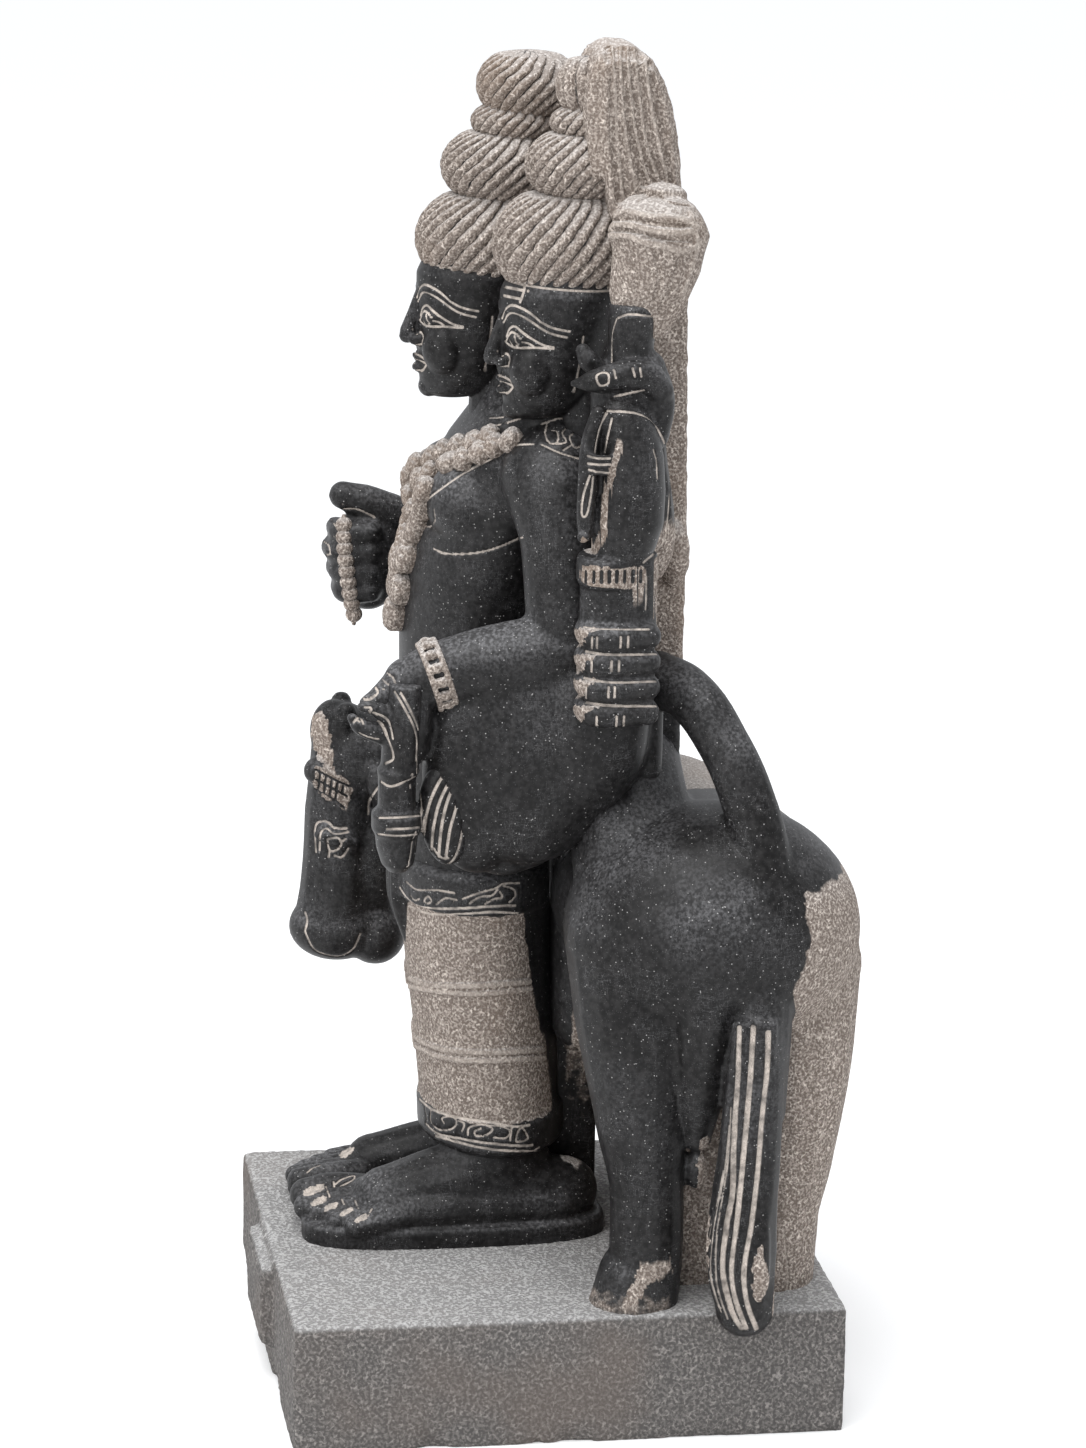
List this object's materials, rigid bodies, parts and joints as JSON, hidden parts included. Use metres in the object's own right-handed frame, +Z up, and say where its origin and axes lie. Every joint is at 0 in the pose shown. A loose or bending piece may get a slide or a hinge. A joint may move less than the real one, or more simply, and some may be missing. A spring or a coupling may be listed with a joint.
{
  "type": "stone statue",
  "caption": "Granite statue of a three-headed standing deity with a cow behind, on a rectangular plinth, cut from one block.",
  "frame": {"origin": "centre of the plinth's flat underside", "axes": "+Z up, the deity faces -Y, +X towards the deity's left side"},
  "size_m": [0.5677, 0.5232, 1.1974],
  "materials": {
    "granite": "dark granite, part polished, part left pecked and rough"
  },
  "bodies": {
    "root": {"dattatreya_statue": "granite"}
  },
  "joints": []
}
